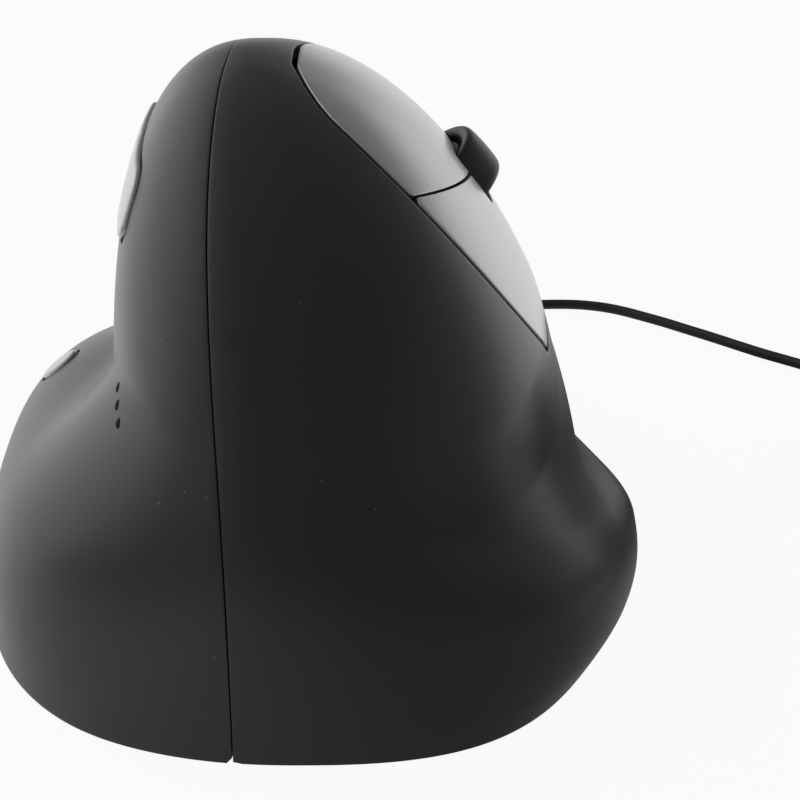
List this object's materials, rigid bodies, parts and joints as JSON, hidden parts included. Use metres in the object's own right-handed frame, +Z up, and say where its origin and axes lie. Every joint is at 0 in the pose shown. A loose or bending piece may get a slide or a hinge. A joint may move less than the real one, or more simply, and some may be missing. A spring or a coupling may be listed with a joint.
{
  "type": "vertical computer mouse",
  "caption": "Upright right-hand computer mouse with a thumb rest, hinged finger buttons on its slope, a scroll wheel, thumb buttons and a coiled cord with a plug.",
  "frame": {"origin": "middle of the footprint of the mouse without its cord, on the desk under the glide feet", "axes": "+Z up; +Y towards the nose, away from the palm end; +X towards the finger buttons, so the thumb rest is at -X"},
  "size_m": [0.1597, 0.1383, 0.072],
  "materials": {
    "case_black": "soft matt rubber paint over moulded plastic",
    "base_black": "fine moulded grain",
    "button_silver": "satin silver paint under clear lacquer",
    "wheel_rubber": "ribbed soft rubber",
    "inner_grey": "plain moulded plastic",
    "board_green": "solder resist over glass fibre board",
    "chip_black": "moulded epoxy",
    "pin_white": "natural nylon",
    "screw_steel": "zinc plated",
    "glide_white": "low friction sheet",
    "lens_clear": "moulded clear plastic",
    "lamp_red": "tinted epoxy",
    "window_dark": "smoked clear plastic",
    "ribbon_grey": "flat cable",
    "cord_black": "smooth soft jacket",
    "tie_black": "woven strap",
    "plug_steel": "nickel plated sheet"
  },
  "bodies": {
    "case": {"base_plate": "base_black", "glide_feet": "glide_white", "base_screws": "screw_steel", "thumb_shell": "case_black", "palm_shell": "case_black", "hinge_rod": "screw_steel", "button_frame": "inner_grey", "frame_screws": "screw_steel", "button_board": "board_green", "button_switches": "chip_black", "wheel_switch": "chip_black", "encoder_emitter": "lens_clear", "encoder_receiver": "chip_black", "thumb_board": "board_green", "thumb_switches": "chip_black", "speed_switch": "chip_black", "indicator_windows": "window_dark", "indicator_board": "board_green", "main_board": "board_green", "board_screws": "screw_steel", "sensor_lens": "lens_clear", "sensor_chip": "chip_black", "sensor_lamp": "lamp_red", "controller_chip": "chip_black", "cord_socket": "pin_white", "board_ribbon": "ribbon_grey", "thumb_ribbon": "ribbon_grey", "cord_tail": "cord_black", "cord_grommet": "cord_black", "cord": "cord_black", "cord_coil": "cord_black", "plug_cord": "cord_black", "cord_tie": "tie_black", "plug_grip": "base_black", "plug_shell": "plug_steel", "plug_tongue": "pin_white"},
    "index_button": {"index_button": "button_silver"},
    "middle_button": {"middle_button": "button_silver"},
    "forward_button": {"forward_button": "button_silver"},
    "back_button": {"back_button": "button_silver"},
    "speed_button": {"speed_button": "button_silver"},
    "index_plunger": {"index_plunger": "pin_white"},
    "middle_plunger": {"middle_plunger": "pin_white"},
    "wheel_plunger": {"wheel_plunger": "pin_white"},
    "forward_plunger": {"forward_plunger": "pin_white"},
    "back_plunger": {"back_plunger": "pin_white"},
    "speed_plunger": {"speed_plunger": "pin_white"},
    "cradle": {"wheel_cradle": "inner_grey"},
    "wheel": {"wheel_hub": "inner_grey", "wheel_tyre": "wheel_rubber"}
  },
  "joints": [
    {"name": "index_press", "type": "hinge", "parent": "case", "child": "index_button", "pos_m": [0.0159, -0.00997, 0.0489], "axis": [-0.6428, 0, 0.766], "range_deg": [0, 0.5], "stiffness_Nm_per_rad": 2, "springref_deg": -0.23},
    {"name": "middle_press", "type": "hinge", "parent": "case", "child": "middle_button", "pos_m": [0.0159, -0.00997, 0.0489], "axis": [-0.6428, 0, 0.766], "range_deg": [0, 0.5], "stiffness_Nm_per_rad": 2, "springref_deg": -0.23},
    {"name": "wheel_press", "type": "slide", "parent": "case", "child": "cradle", "axis": [-0.766, 0, -0.6428], "range_m": [0, 0.0004], "stiffness_N_per_m": 2500, "springref_m": -0.0002},
    {"name": "wheel_spin", "type": "hinge", "parent": "cradle", "child": "wheel", "pos_m": [0.0164, 0.02003, 0.04671], "axis": [0.6428, 0, -0.766], "continuous": true},
    {"name": "forward_press", "type": "slide", "parent": "case", "child": "forward_button", "axis": [1, 0, 0], "range_m": [0, 0.0004], "stiffness_N_per_m": 1500, "springref_m": -0.0001},
    {"name": "back_press", "type": "slide", "parent": "case", "child": "back_button", "axis": [1, 0, 0], "range_m": [0, 0.0004], "stiffness_N_per_m": 1500, "springref_m": -0.0001},
    {"name": "speed_press", "type": "slide", "parent": "case", "child": "speed_button", "axis": [0, 0, -1], "range_m": [0, 0.0004], "stiffness_N_per_m": 1500, "springref_m": -0.0001},
    {"name": "index_plunge", "type": "slide", "parent": "case", "child": "index_plunger", "axis": [-0.766, 0, -0.6428], "range_m": [0, 0.0003]},
    {"name": "middle_plunge", "type": "slide", "parent": "case", "child": "middle_plunger", "axis": [-0.766, 0, -0.6428], "range_m": [0, 0.0003]},
    {"name": "wheel_plunge", "type": "slide", "parent": "case", "child": "wheel_plunger", "axis": [-0.766, 0, -0.6428], "range_m": [0, 0.0004]},
    {"name": "forward_plunge", "type": "slide", "parent": "case", "child": "forward_plunger", "axis": [1, 0, 0], "range_m": [0, 0.0004]},
    {"name": "back_plunge", "type": "slide", "parent": "case", "child": "back_plunger", "axis": [1, 0, 0], "range_m": [0, 0.0004]},
    {"name": "speed_plunge", "type": "slide", "parent": "case", "child": "speed_plunger", "axis": [0, 0, -1], "range_m": [0, 0.0004]}
  ],
  "couplings": [
    {"joint": "index_plunge", "follows": "index_press", "m_per_rad": 0.033},
    {"joint": "middle_plunge", "follows": "middle_press", "m_per_rad": 0.0315},
    {"joint": "wheel_plunge", "follows": "wheel_press", "ratio": 1},
    {"joint": "forward_plunge", "follows": "forward_press", "ratio": 1},
    {"joint": "back_plunge", "follows": "back_press", "ratio": 1},
    {"joint": "speed_plunge", "follows": "speed_press", "ratio": 1}
  ]
}
